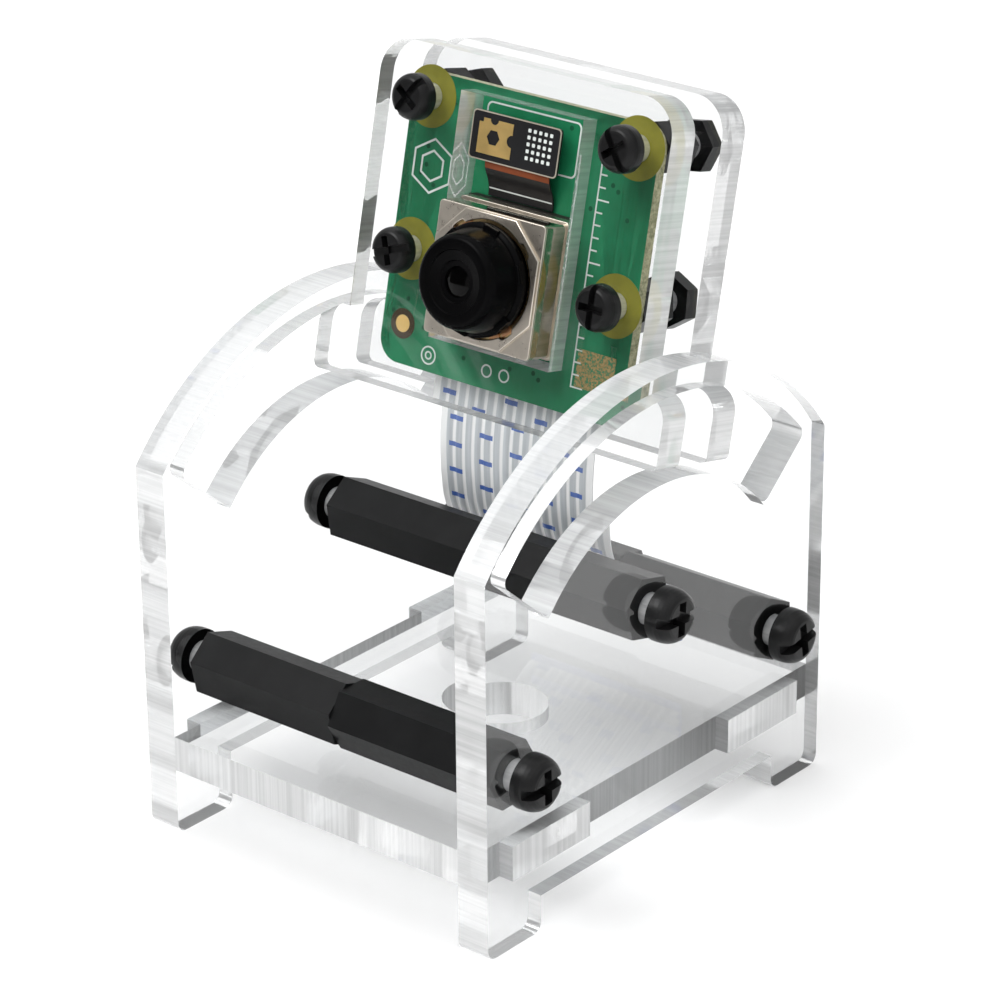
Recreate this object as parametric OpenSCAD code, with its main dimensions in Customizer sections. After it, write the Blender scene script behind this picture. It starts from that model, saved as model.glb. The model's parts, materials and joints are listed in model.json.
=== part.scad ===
// Tilting stand for a small camera board: two slotted clear side plates on a base,
// three cross bars of hex standoffs, and a carriage of two clear plates that
// slides in the side plates' arc slots and carries the board, lens and ribbon.
// Millimetres. X to the right, Y to the back, Z up, origin under the middle.

/* [Stand] */
// Thickness of every clear sheet
sheet_t = 3; // [2.5:0.1:3.5]
// Clear gap between the two side plates
gap_w = 30; // [28:0.5:32]
// Depth of the side plates, front to back
plate_d = 43; // [42:0.5:46]
// Length of each foot
foot_l = 6.4; // [5:0.1:8]
// Height of the cut-out between the feet
foot_h = 3.1; // [2:0.1:4]
// Height of the underside of the base plate
base_z = 5.8; // [5:0.1:7]
// Distance of the base tabs from the plate's front and back edges
tab_in = 3; // [2:0.1:4]
// Length of each base tab
tab_l = 9.5; // [8:0.5:11]
// Radius of the mounting hole in the base plate
base_hole_r = 3.8; // [3:0.1:5]

/* [Arc] */
// How far behind the middle the tilt axis lies
axis_y = -0.4; // [-1:0.1:1]
// Height of the tilt axis
axis_z = 14.8; // [14:0.1:16]
// Outer radius of the side plates' round tops
arc_r = 27.1; // [26.5:0.1:28]
// Inner radius of the arc slots
slot_r1 = 18; // [17:0.1:18.2]
// Outer radius of the arc slots
slot_r2 = 25.1; // [25:0.1:25.6]
// Angle from upright to each end of a slot
slot_end = 49.5; // [46:0.5:52]

/* [Bars] */
// Distance of the front and rear bars from the middle
bar_y = 16.6; // [15:0.1:18]
// Height of the front and rear bars
bar_z = 13.8; // [12.5:0.1:15]
// Height of the middle bar
mid_bar_z = 21.8; // [20:0.1:23]
// Width of the hex standoffs across their flats
hex_af = 5; // [4.5:0.1:5.5]
// Radius of the bar screws' shanks
bar_screw_r = 1.2; // [1:0.05:1.4]
// Radius of the bar screws' heads
bar_head_r = 2.3; // [2.1:0.1:2.8]
// Height of the bar screws' heads
bar_head_h = 2; // [1.6:0.1:2.2]

/* [Carriage] */
// How far the carriage leans back as drawn
lean = 12.8; // [0:0.1:30]
// Width of the carriage plates between the side plates
car_w = 29.5; // [27:0.1:29.6]
// Distance from the tilt axis to the plates' bottom edge
car_v0 = 18.6; // [18.5:0.1:19]
// Distance from the tilt axis to the plates' top edge
car_v1 = 46.9; // [46:0.1:50]
// Distance from the tilt axis plane to the front plate's front face
car_n = 4.6; // [4.5:0.1:5]
// Gap between the front and back plates
car_gap = 3.6; // [3.6:0.1:4]
// Height of the side tabs that ride in the slots
ear_h = 5.8; // [5:0.1:6]
// Distance of the tabs' ends from the middle
ear_x = 17.8; // [17:0.1:18]
// Radius of the plates' top corners
car_corner_r = 3; // [1:0.5:4]
// Half width of the window for the lens
window_x = 6.2; // [5.9:0.1:7]
// Bottom of the window, from the tilt axis
window_v0 = 23.8; // [23:0.1:24.2]
// Top of the window, from the tilt axis
window_v1 = 43.9; // [43:0.1:44.5]

/* [Camera] */
// Width of the camera board
board_w = 25; // [24:0.5:26]
// Height of the camera board
board_h = 24; // [23.5:0.1:25]
// Thickness of the camera board
board_t = 1; // [0.8:0.1:1.2]
// Distance from the tilt axis to the lens axis
lens_v = 30; // [29.5:0.1:30.5]
// Sideways spacing of the board's screw holes
hole_dx = 21; // [20:0.5:22]
// Upward spacing of the board's screw holes
hole_dv = 12.5; // [12:0.5:13]
// Radius of the board's screw holes
hole_r = 1.1; // [1.05:0.05:1.3]
// Width of the camera's metal can
can_w = 10.8; // [10:0.1:11]
// Height of the can's top above the board
can_h = 5; // [4.6:0.1:5.4]
// Height of the lens front above the board
lens_h = 8.6; // [7.4:0.1:9]
// Radius of the lens barrel's front
barrel_r = 3.5; // [3.2:0.1:3.8]
// Width of the flat ribbon
ribbon_w = 16; // [15:0.5:17]

/* [Hidden] */
$fn = 72;

// Stand
in_x = gap_w / 2;
out_x = in_x + sheet_t;
half_d = plate_d / 2;
fit = 0.05;
corner_r = 0.9;
base_top = base_z + sheet_t;
stand_top = 60;
arc_join_z = 29;
bars = [[-bar_y, bar_z], [0, mid_bar_z], [bar_y, bar_z]];
plate_hole_r = bar_screw_r + 0.15;
bore_r = bar_screw_r + fit;
shank_in = 5;
stud_l = 6;
left_bore_l = 7;
hex_r = hex_af / 2 / cos(30);
slot_corner_r = 0.8;
bar_face_r = 1.45;
bar_rim_h = 1.5;
// Turn of each bar screw's slot, left and right
bar_turns = [[70, 92], [60, 86], [110, 100]];

// Carriage, in its own frame: Y is the depth behind the tilt axis plane
front_y = -car_n;
board_y = front_y + sheet_t;
back_y = board_y + car_gap;
board_back_y = board_y + board_t;
ear_v1 = car_v0 + ear_h;
ear_r = 2;
small_r = 0.6;
cam_screw_r = 1;
cam_head_r = 1.9;
cam_head_h = 1.5;
cam_face_r = 1.25;
cam_rim_h = 1;
cam_screw_l = 12;
nut_af = 4;
nut_r = nut_af / 2 / cos(30);
rear_nut_h = 1.4;
spacer_turns = [16, 24, 40, 13];
nut_turns = [20, 18, 34, 8];
board_v1 = lens_v + hole_dv + 2;
board_v0 = board_v1 - board_h;
holes = [for (sx = [-1, 1], v = [lens_v, lens_v + hole_dv]) [sx * hole_dx / 2, v]];

// Camera module, heights above the board's front
skirt_w = can_w + 0.4;
skirt_h = 1;
can_wall = 0.25;
can_top_y = board_y - can_h;
can_hole_r = 4.8;
holder_r = 4.6;
sensor_t = 0.5;
floor_h = 2.2;
flex_x = -0.9;
flex_w = 6.6;
pad_x = -1.3;
pad_w = 9;
pad_v0 = 38.55;
pad_v1 = 42.5;

// Ribbon connector on the back of the board
ffc_w = 21;
ffc_v0 = 21.9;
ffc_v1 = 26.6;
ffc_t = car_gap - board_t - 0.1;
latch_h = 1;
ribbon_t = 0.3;
ribbon_y = board_back_y + ffc_t / 2;
ribbon_pocket = 2.6;

// Route of the hanging ribbon, [y, z], from the connector's mouth down to the folds
ribbon_route = [[4.84, 34.93], [4.45, 33.2], [4.08, 31.3], [3.85, 29.3], [3.8, 27.3],
    [3.9, 25.3], [4.15, 23.5], [4.6, 22.2], [5, 21.6]];
// Stack of folds behind the middle bar
fold_y0 = 4.85;
fold_y1 = 13.4;
fold_z0 = 21.6;
fold_drop = 0.573;
fold_h = 4.9;

clear_tint = [0.90, 0.94, 0.96, 0.45];

// ---------- helpers ----------
// Cylinder along X from x0 to x1
module rod_x(r, x0, x1, y, z, sides = 72) {
    translate([x0, y, z]) rotate([0, 90, 0]) cylinder(r = r, h = x1 - x0, $fn = sides);
}

// Cylinder along Y from y0 to y1 in the carriage frame
module rod_y(r, y0, y1, x, v, sides = 72) {
    translate([x, y1, v]) rotate([90, 0, 0]) cylinder(r = r, h = y1 - y0, $fn = sides);
}

// Box given by its low and high corners
module box(low, high) {
    translate(low) cube(high - low);
}

// Turns a part from the carriage frame into the stand
module on_carriage() {
    translate([0, axis_y, axis_z]) rotate([-lean, 0, 0]) children();
}

// Flat outline in X and V, extruded from y0 to y1
module sheet_y(y0, y1) {
    translate([0, y1, 0]) rotate([90, 0, 0]) linear_extrude(y1 - y0) children();
}

// What fills a square corner to leave a round one, in the first quadrant
module corner_fill(r, h) {
    difference() {
        cube([r, r, h]);
        translate([r, r, -1]) cylinder(r = r, h = h + 2);
    }
}

// ---------- stand ----------
module side_outline(x0) {
    difference() {
        union() {
            box([x0, -half_d, 0], [x0 + sheet_t, half_d, arc_join_z]);
            intersection() {
                box([x0, -half_d, 0], [x0 + sheet_t, half_d, stand_top]);
                rod_x(arc_r, x0, x0 + sheet_t, axis_y, axis_z, 144);
            }
        }
        box([x0 - 1, -half_d + foot_l, -1], [x0 + sheet_t + 1, half_d - foot_l, foot_h]);
        for (s = [-1, 1]) foot_corners(x0, s);
    }
}

// Rounded bottom corners of one foot
module foot_corners(x0, s) {
    for (edge = [[s * half_d, -s], [s * (half_d - foot_l), s]]) {
        translate([x0 - 1, edge[0], 0]) multmatrix([[0, 0, 1, 0], [edge[1], 0, 0, 0],
            [0, 1, 0, 0], [0, 0, 0, 1]]) translate([-0.01, -0.01, 0])
            corner_fill(corner_r, sheet_t + 2);
    }
}

module arc_slot(x0) {
    difference() {
        intersection() {
            difference() {
                rod_x(slot_r2, x0 - 1, x0 + sheet_t + 1, axis_y, axis_z, 144);
                rod_x(slot_r1, x0 - 2, x0 + sheet_t + 2, axis_y, axis_z, 144);
            }
            translate([x0 - 1, axis_y, axis_z]) rotate([90, 0, 90])
                linear_extrude(sheet_t + 2) polygon([[0, 0],
                [40 * sin(slot_end), 40 * cos(slot_end)], [30, 60], [-30, 60],
                [-40 * sin(slot_end), 40 * cos(slot_end)]]);
        }
        for (s = [-1, 1]) slot_end_fills(x0, s);
    }
}

// Round inner corners at one end of a slot
module slot_end_fills(x0, s) {
    translate([x0 - 1, axis_y, axis_z]) rotate([-s * slot_end, 0, 0]) {
        for (c = [[slot_r2, -1], [slot_r1, 1]]) {
            translate([0, 0, c[0]]) multmatrix([[0, 0, 1, 0], [-s, 0, 0, 0],
                [0, c[1], 0, 0], [0, 0, 0, 1]]) corner_fill(slot_corner_r, sheet_t + 2);
        }
    }
}

module side_plate(x0) {
    difference() {
        side_outline(x0);
        arc_slot(x0);
        for (s = [-1, 1]) {
            box([x0 - 1, s * (half_d - tab_in - tab_l / 2) - tab_l / 2, base_z],
                [x0 + sheet_t + 1, s * (half_d - tab_in - tab_l / 2) + tab_l / 2, base_top]);
        }
        for (b = bars) rod_x(plate_hole_r, x0 - 1, x0 + sheet_t + 1, b[0], b[1]);
    }
}

module left_side_plate() {
    color(clear_tint) side_plate(-out_x);
}

module right_side_plate() {
    color(clear_tint) side_plate(in_x);
}

module base_plate() {
    color(clear_tint) difference() {
        union() {
            box([-in_x, -half_d, base_z], [in_x, half_d, base_top]);
            for (s = [-1, 1]) {
                box([-out_x, s * (half_d - tab_in - tab_l / 2) - tab_l / 2, base_z],
                    [out_x, s * (half_d - tab_in - tab_l / 2) + tab_l / 2, base_top]);
            }
        }
        translate([0, 0, base_z - 1]) cylinder(r = base_hole_r, h = sheet_t + 2);
    }
}

// ---------- bars ----------
// Plain half of a bar: tapped right through, from the joint to the right plate
module right_standoff(b, turn) {
    color("#1b1b1d") difference() {
        translate([0, b[0], b[1]]) rotate([turn, 0, 0]) rotate([0, 90, 0])
            cylinder(r = hex_r, h = in_x, $fn = 6);
        rod_x(bore_r, -1, in_x + 1, b[0], b[1]);
    }
}

// Other half: a stud at the joint, and a tapped hole at the left plate
module left_standoff(b, turn) {
    color("#1b1b1d") difference() {
        union() {
            translate([-in_x, b[0], b[1]]) rotate([turn, 0, 0]) rotate([0, 90, 0])
                cylinder(r = hex_r, h = in_x, $fn = 6);
            rod_x(bar_screw_r, -1, stud_l, b[0], b[1]);
        }
        rod_x(bore_r, -in_x - 1, -in_x + left_bore_l, b[0], b[1]);
    }
}

module front_bar_left_standoff() {
    left_standoff(bars[0], 12);
}

module front_bar_right_standoff() {
    right_standoff(bars[0], 30);
}

module middle_bar_left_standoff() {
    left_standoff(bars[1], 8);
}

module middle_bar_right_standoff() {
    right_standoff(bars[1], 16);
}

module rear_bar_left_standoff() {
    left_standoff(bars[2], 20);
}

module rear_bar_right_standoff() {
    right_standoff(bars[2], 4);
}

// Domed cheese head standing on Z = 0, with a slot from rim to rim and a shorter one across it.
// The rim rounds over from radius r to the flat face's radius in the top rim_h.
module screw_head(r, h, face_r, rim_h, slot_w, turn) {
    difference() {
        rotate_extrude() polygon([[0, 0], [r, 0], for (a = [0:15:90])
            [face_r + (r - face_r) * cos(a), h - rim_h + rim_h * sin(a)], [0, h]]);
        rotate([0, 0, turn]) {
            translate([-r - 1, -slot_w / 2, 0.55 * h]) cube([2 * r + 2, slot_w, h]);
            translate([-slot_w / 2, -0.62 * r, 0.4 * h]) cube([slot_w, 1.24 * r, h]);
        }
    }
}

// One bar screw, its head standing on the plate's outer face at Z = 0
module bar_screw(turn) {
    screw_head(bar_head_r, bar_head_h, bar_face_r, bar_rim_h, 0.85, turn);
    translate([0, 0, -sheet_t - shank_in]) cylinder(r = bar_screw_r, h = sheet_t + shank_in);
}

module bar_screws() {
    color("#18181a") for (i = [0:2], side = [0, 1]) {
        s = 2 * side - 1;
        translate([s * out_x, bars[i][0], bars[i][1]]) rotate([0, s * 90, 0])
            bar_screw(bar_turns[i][side]);
    }
}

// ---------- carriage plates ----------
// Upper body with round top corners, a straight bottom edge and a tab at each side
module carriage_outline() {
    hull() {
        for (s = [-1, 1]) {
            translate([s * (car_w / 2 - car_corner_r), car_v1 - car_corner_r]) circle(car_corner_r);
            translate([s * (car_w / 2 - 0.5), car_v0 + 0.5]) square(1, center = true);
        }
    }
    hull() {
        for (s = [-1, 1]) {
            translate([s * (ear_x - ear_r), ear_v1 - ear_r]) circle(ear_r);
            translate([s * (ear_x - small_r), car_v0 + small_r]) circle(small_r);
        }
    }
}

module carriage_holes(y0, y1) {
    for (h = holes) rod_y(hole_r, y0 - 1, y1 + 1, h[0], h[1]);
}

module front_plate() {
    color(clear_tint) on_carriage() difference() {
        sheet_y(front_y, board_y) carriage_outline();
        box([-window_x, front_y - 1, window_v0], [window_x, board_y + 1, window_v1]);
        carriage_holes(front_y, board_y);
    }
}

module back_plate() {
    color(clear_tint) on_carriage() difference() {
        sheet_y(back_y, back_y + sheet_t) carriage_outline();
        carriage_holes(back_y, back_y + sheet_t);
    }
}

module camera_screws() {
    color("#18181a") on_carriage() for (i = [0:3]) {
        translate([holes[i][0], front_y, holes[i][1]]) rotate([90, 0, 0]) {
            screw_head(cam_head_r, cam_head_h, cam_face_r, cam_rim_h, 0.6, 20 + 35 * i);
            translate([0, 0, -cam_screw_l]) cylinder(r = cam_screw_r, h = cam_screw_l);
        }
    }
}

module hex_nut(h, turn) {
    difference() {
        intersection() {
            rotate([0, 0, turn]) cylinder(r = nut_r, h = h, $fn = 6);
            cylinder(r1 = nut_r - 0.12, r2 = nut_r + 2 * h, h = h);
        }
        translate([0, 0, -1]) cylinder(r = cam_screw_r + fit, h = h + 2);
    }
}
module camera_nuts() {
    color("#18181a") on_carriage() for (i = [0:3]) translate([holes[i][0], 0, holes[i][1]]) {
        translate([0, back_y, 0]) rotate([90, 0, 0]) hex_nut(car_gap - board_t, spacer_turns[i]);
        translate([0, back_y + sheet_t + rear_nut_h, 0]) rotate([90, 0, 0]) hex_nut(rear_nut_h, nut_turns[i]);
    }
}

// ---------- camera board ----------
module camera_board() {
    color("#1f7a4d") on_carriage() difference() {
        sheet_y(board_y, board_back_y) hull() {
            for (sx = [-1, 1], v = [board_v0 + 2, board_v1 - 2]) {
                translate([sx * (board_w / 2 - 2), v]) circle(2);
            }
        }
        for (h = holes) rod_y(hole_r, board_y - 1, board_back_y + 1, h[0], h[1]);
    }
}

// Small packages on the back of the board
module board_components() {
    chips = [[-4.5, 35.5, 4, 4, 0.8], [3.6, 36.2, 3, 3, 0.7], [-1, 31.2, 2.4, 1.6, 0.6],
        [5.2, 31.4, 1.6, 2, 0.6], [-5.8, 30.6, 1.6, 1.2, 0.5], [0.8, 41.4, 2, 1.2, 0.5],
        [-4.2, 41.2, 1.6, 0.8, 0.5], [5.4, 40.6, 1, 1.6, 0.5]];
    color("#222222") on_carriage() for (c = chips) {
        box([c[0] - c[2] / 2, board_back_y, c[1] - c[3] / 2],
            [c[0] + c[2] / 2, board_back_y + c[4], c[1] + c[3] / 2]);
    }
}

// ---------- camera module ----------
// A point at height h above the board, in the carriage frame's Y
function up(h) = board_y - h;

// Moulded floor that the can sits on, with a shelf for the filter
module sensor_base() {
    color("#2a2724") on_carriage() difference() {
        union() {
            box([-skirt_w / 2, up(skirt_h), lens_v - skirt_w / 2],
                [skirt_w / 2, up(0), lens_v + skirt_w / 2]);
            box([-can_w / 2 + 0.3, up(floor_h), lens_v - can_w / 2 + 0.3],
                [can_w / 2 - 0.3, up(skirt_h), lens_v + can_w / 2 - 0.3]);
        }
        box([-3.7, up(1.2), lens_v - 3.1], [3.7, up(-1), lens_v + 3.1]);
        box([-2.9, up(1.6), lens_v - 2.4], [2.9, up(1), lens_v + 2.4]);
        box([-3.3, up(floor_h + 1), lens_v - 2.8], [3.3, up(1.6), lens_v + 2.8]);
    }
}

// Folded metal can with a round hole for the lens and clipped inner corners
module sensor_can() {
    w = can_w / 2;
    color("#b9b2a3") on_carriage() difference() {
        box([-w, can_top_y, lens_v - w], [w, up(skirt_h), lens_v + w]);
        box([-w + can_wall, can_top_y + can_wall, lens_v - w + can_wall],
            [w - can_wall, up(skirt_h) + 1, lens_v + w - can_wall]);
        rod_y(can_hole_r, can_top_y - 1, can_top_y + 1, 0, lens_v);
    }
}

module image_sensor() {
    color("#3a3f4a") on_carriage() {
        box([-3.4, up(sensor_t), lens_v - 2.8], [3.4, up(0), lens_v + 2.8]);
    }
}

module infrared_filter() {
    color([0.55, 0.75, 0.8, 0.6]) on_carriage() {
        box([-3.2, up(1.9), lens_v - 2.7], [3.2, up(1.6), lens_v + 2.7]);
    }
}

// Four corner magnets of the focus motor
module focus_magnets() {
    color("#8c8f94") on_carriage() for (sx = [-1, 1], sv = [-1, 1]) {
        intersection() {
            box([min(sx * 5, sx * 2), up(4.2), lens_v + min(sv * 5, sv * 2)],
                [max(sx * 5, sx * 2), up(2.7), lens_v + max(sv * 5, sv * 2)]);
            difference() {
                box([-5, up(4.2), lens_v - 5], [5, up(2.7), lens_v + 5]);
                rod_y(5, up(5), up(2), 0, lens_v);
            }
        }
    }
}

// Upper and lower flat ring springs that hold the lens holder
module focus_springs() {
    color("#c8a35a") on_carriage() for (h = [2.35, 4.5]) {
        difference() {
            rod_y(5.1, up(h + 0.1), up(h), 0, lens_v);
            rod_y(4.35, up(h + 1), up(h - 1), 0, lens_v);
        }
    }
}

// Thin flex from the module up to its board connector
module sensor_flex() {
    color("#1c1a18") on_carriage()
        translate([flex_x - flex_w / 2, 0, 0]) rotate([90, 0, 90]) linear_extrude(flex_w)
        polygon([[up(0.12), 35.75], [up(0.12), 37], [up(1.1), 38.1], [up(1.1), 42.2],
        [up(1.25), 42.2], [up(1.25), 38], [up(0.27), 36.9], [up(0.27), 35.75]]);
}

module flex_connector() {
    color("#15120f") on_carriage() {
        box([pad_x - 3.3, up(1.05), 38.6], [pad_x + 3.3, up(0), 42.2]);
    }
}

module flex_stiffener() {
    color("#101012") on_carriage() {
        box([pad_x - pad_w / 2, up(1.55), pad_v0], [pad_x + pad_w / 2, up(1.3), pad_v1]);
    }
}

// Moving lens: holder with its coil, barrel and glass
module lens_holder() {
    color("#161616") on_carriage() difference() {
        union() {
            rod_y(3.95, up(5.2), up(2.6), 0, lens_v);
            rod_y(holder_r, up(6), up(5.15), 0, lens_v);
            rod_y(4.2, up(4.95), up(4.65), 0, lens_v);
        }
        rod_y(3.4, up(7), up(2), 0, lens_v);
    }
}

module focus_coil() {
    color("#a5622a") on_carriage() difference() {
        rod_y(4.6, up(4.1), up(2.8), 0, lens_v);
        rod_y(4, up(5), up(2), 0, lens_v);
    }
}

module lens_barrel() {
    color("#0e0e10") on_carriage() difference() {
        union() {
            rod_y(3.35, up(6.1), up(2.7), 0, lens_v);
            rod_y(4.1, up(6.7), up(6.05), 0, lens_v);
            rod_y(barrel_r, up(lens_h), up(6.65), 0, lens_v);
        }
        rod_y(2.6, up(lens_h - 0.9), up(2), 0, lens_v);
        rod_y(1.8, up(lens_h - 0.4), up(6), 0, lens_v);
        translate([0, up(lens_h - 0.45), lens_v]) rotate([90, 0, 0])
            cylinder(r1 = 1.8, r2 = 2.6, h = 0.46);
    }
}

module front_lens() {
    color([0.2, 0.25, 0.35, 0.8]) on_carriage() intersection() {
        rod_y(1.75, up(lens_h - 0.5), up(lens_h - 0.85), 0, lens_v);
        translate([0, up(lens_h - 0.5) + 4.5, lens_v]) sphere(r = 4.5);
    }
}

module inner_lenses() {
    color([0.35, 0.45, 0.5, 0.8]) on_carriage() for (h = [3, 4.4, 5.8]) {
        rod_y(2.55, up(h + 0.8), up(h), 0, lens_v);
    }
}

// ---------- ribbon connector ----------
module ffc_connector() {
    color("#d8d2c2") on_carriage() difference() {
        box([-ffc_w / 2, board_back_y, ffc_v0], [ffc_w / 2, board_back_y + ffc_t, ffc_v1]);
        box([-ribbon_w / 2 - 0.3, ribbon_y - 0.35, ffc_v0 - 1],
            [ribbon_w / 2 + 0.3, ribbon_y + 0.75, ffc_v0 + ribbon_pocket + 0.2]);
    }
}

// Row of spring contacts, one to each conductor, and their solder tails
module ffc_contacts() {
    color("#cdb26a") on_carriage() for (i = [-7:7]) {
        box([i - 0.2, ribbon_y + 0.3, ffc_v0 + 0.4], [i + 0.2, ribbon_y + 0.5, ffc_v0 + 2.6]);
        box([i - 0.2, board_back_y, ffc_v1], [i + 0.2, board_back_y + 0.3, ffc_v1 + 0.6]);
    }
}

// Stiffened end of the ribbon, held in the connector
module ribbon_contact_end() {
    color("#e8ecef") on_carriage() {
        box([-ribbon_w / 2, ribbon_y - 0.15, ffc_v0 - latch_h - 0.05],
            [ribbon_w / 2, ribbon_y + 0.2, ffc_v0 + ribbon_pocket]);
    }
}

// Slider that clamps the ribbon, pulled down to let it go
module connector_latch() {
    color("#1a1a1a") on_carriage() difference() {
        box([-ffc_w / 2, board_back_y + 0.1, ffc_v0 - latch_h],
            [ffc_w / 2, board_back_y + ffc_t, ffc_v0 - 0.1]);
        box([-ribbon_w / 2 - 0.25, ribbon_y - 0.35, ffc_v0 - latch_h - 1],
            [ribbon_w / 2 + 0.25, ribbon_y + 0.4, ffc_v0 + 1]);
    }
}

// ---------- ribbon ----------
// Ring of four corners of the ribbon's section at point i of its route
function ribbon_ring(i) =
    let (n = len(ribbon_route), a = ribbon_route[max(i - 1, 0)],
        b = ribbon_route[min(i + 1, n - 1)], d = (b - a) / norm(b - a),
        side = [-d[1], d[0]] * ribbon_t / 2, p = ribbon_route[i])
    [[-ribbon_w / 2, p[0] - side[0], p[1] - side[1]], [ribbon_w / 2, p[0] - side[0], p[1] - side[1]],
    [ribbon_w / 2, p[0] + side[0], p[1] + side[1]], [-ribbon_w / 2, p[0] + side[0], p[1] + side[1]]];

module ribbon_cable() {
    n = len(ribbon_route);
    points = [for (i = [0:n - 1]) each ribbon_ring(i)];
    color("#c9ccd0") polyhedron(points, concat([[3, 2, 1, 0]],
        [for (i = [0:n - 2], k = [0:3])
            [4 * i + k, 4 * i + (k + 1) % 4, 4 * i + 4 + (k + 1) % 4, 4 * i + 4 + k]],
        [[4 * n - 4, 4 * n - 3, 4 * n - 2, 4 * n - 1]]));
}

// Outer shape of the ribbon folded to and fro behind the middle bar
module ribbon_folds() {
    drop = fold_drop * (fold_y1 - fold_y0);
    color("#c9ccd0") translate([-ribbon_w / 2, 0, 0]) rotate([90, 0, 90])
        linear_extrude(ribbon_w) polygon([[fold_y0, fold_z0], [fold_y1, fold_z0 - drop],
        [fold_y1, fold_z0 - drop - fold_h], [fold_y0, fold_z0 - fold_h]]);
}

// Stiffened free end of the ribbon, at the back of the folds
module ribbon_free_end() {
    drop = fold_drop * (fold_y1 - fold_y0);
    color("#2f5fa8") {
        box([-ribbon_w / 2, fold_y1, fold_z0 - drop - fold_h],
            [ribbon_w / 2, fold_y1 + ribbon_t, fold_z0 - drop - 0.6]);
    }
}

left_side_plate();
right_side_plate();
base_plate();
front_bar_left_standoff();
front_bar_right_standoff();
middle_bar_left_standoff();
middle_bar_right_standoff();
rear_bar_left_standoff();
rear_bar_right_standoff();
bar_screws();
front_plate();
back_plate();
camera_screws();
camera_nuts();
camera_board();
board_components();
sensor_base();
sensor_can();
image_sensor();
infrared_filter();
focus_magnets();
focus_springs();
sensor_flex();
flex_connector();
flex_stiffener();
ffc_connector();
ffc_contacts();
ribbon_contact_end();
connector_latch();
lens_holder();
focus_coil();
lens_barrel();
front_lens();
inner_lenses();
ribbon_cable();
ribbon_folds();
ribbon_free_end();
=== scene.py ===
"""Looks of a clear tilting stand for a small camera board.

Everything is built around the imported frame: X to the right, Y to the back, Z up.
Sizes are in millimetres and become metres only where a mesh is made.
"""

import json
import math
import random

import bmesh
import bpy
from mathutils import Matrix, Vector


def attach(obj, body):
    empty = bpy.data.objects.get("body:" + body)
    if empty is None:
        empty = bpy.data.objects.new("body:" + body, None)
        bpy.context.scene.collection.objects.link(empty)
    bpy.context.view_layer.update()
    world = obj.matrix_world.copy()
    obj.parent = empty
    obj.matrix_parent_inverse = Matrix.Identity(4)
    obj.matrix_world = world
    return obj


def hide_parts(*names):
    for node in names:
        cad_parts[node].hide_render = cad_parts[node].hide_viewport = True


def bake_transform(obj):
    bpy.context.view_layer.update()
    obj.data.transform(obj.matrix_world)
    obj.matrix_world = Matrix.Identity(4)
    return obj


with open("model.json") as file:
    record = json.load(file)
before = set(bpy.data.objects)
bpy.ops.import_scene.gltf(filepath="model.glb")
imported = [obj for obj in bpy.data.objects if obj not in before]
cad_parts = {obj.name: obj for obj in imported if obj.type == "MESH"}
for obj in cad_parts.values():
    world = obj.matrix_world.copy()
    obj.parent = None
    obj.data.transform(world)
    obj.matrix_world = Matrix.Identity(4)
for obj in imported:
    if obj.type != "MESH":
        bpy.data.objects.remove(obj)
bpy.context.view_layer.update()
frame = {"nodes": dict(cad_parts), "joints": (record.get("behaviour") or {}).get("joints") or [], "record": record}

MM = 0.001
NODES = frame["nodes"]
JOINTS = {j["name"]: j for j in frame["joints"]}

# ---------- places, from the frame ----------
PIVOT = Vector(JOINTS["tilt"]["pos_m"]) / MM
BACK = -Vector(JOINTS["focus"]["axis"]).normalized()
UP = Vector((1, 0, 0)).cross(BACK)
LEAN = math.atan2(UP.y, UP.z)
ON_CARRIAGE = Matrix.Translation(PIVOT) @ Matrix.Rotation(-LEAN, 4, "X")
IN_CARRIAGE = ON_CARRIAGE.inverted()


def carriage_box(node):
    """Lowest and highest corner of a CAD node in the carriage's own frame, in mm."""
    points = [IN_CARRIAGE @ (v.co / MM) for v in NODES[node].data.vertices]
    low = Vector([min(p[i] for p in points) for i in range(3)])
    high = Vector([max(p[i] for p in points) for i in range(3)])
    return low, high


BOARD_LOW, BOARD_HIGH = carriage_box("camera_board")
CAN_LOW, CAN_HIGH = carriage_box("sensor_can")
LENS_V = (CAN_LOW.z + CAN_HIGH.z) / 2
HOLE_DX = 21
HOLE_DV = 12.5
HOLES = [(s * HOLE_DX / 2, LENS_V + dv) for s in (-1, 1) for dv in (0, HOLE_DV)]

# ---------- camera ----------
CAM_AZIMUTH = 40.0
CAM_ELEVATION = 23.69
CAM_ROLL = -0.476
CAM_DISTANCE = 318.7
CAM_TARGET = Vector((1.505, 0, 26.93))
CAM_LENS = 142.8


def make_camera():
    data = bpy.data.cameras.new("camera")
    data.lens = CAM_LENS
    data.sensor_width = 36
    data.clip_start = 0.01
    camera = bpy.data.objects.new("camera", data)
    bpy.context.scene.collection.objects.link(camera)
    azimuth = math.radians(CAM_AZIMUTH)
    elevation = math.radians(CAM_ELEVATION)
    back = Vector((math.sin(azimuth) * math.cos(elevation),
                   -math.cos(azimuth) * math.cos(elevation), math.sin(elevation)))
    right = Vector((0, 0, 1)).cross(back).normalized()
    turn = Matrix((right, back.cross(right), back)).transposed().to_4x4()
    roll = Matrix.Rotation(math.radians(CAM_ROLL), 4, "Z")
    camera.matrix_world = Matrix.Translation((CAM_TARGET + back * CAM_DISTANCE) * MM) @ turn @ roll
    bpy.context.scene.camera = camera


make_camera()


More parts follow.
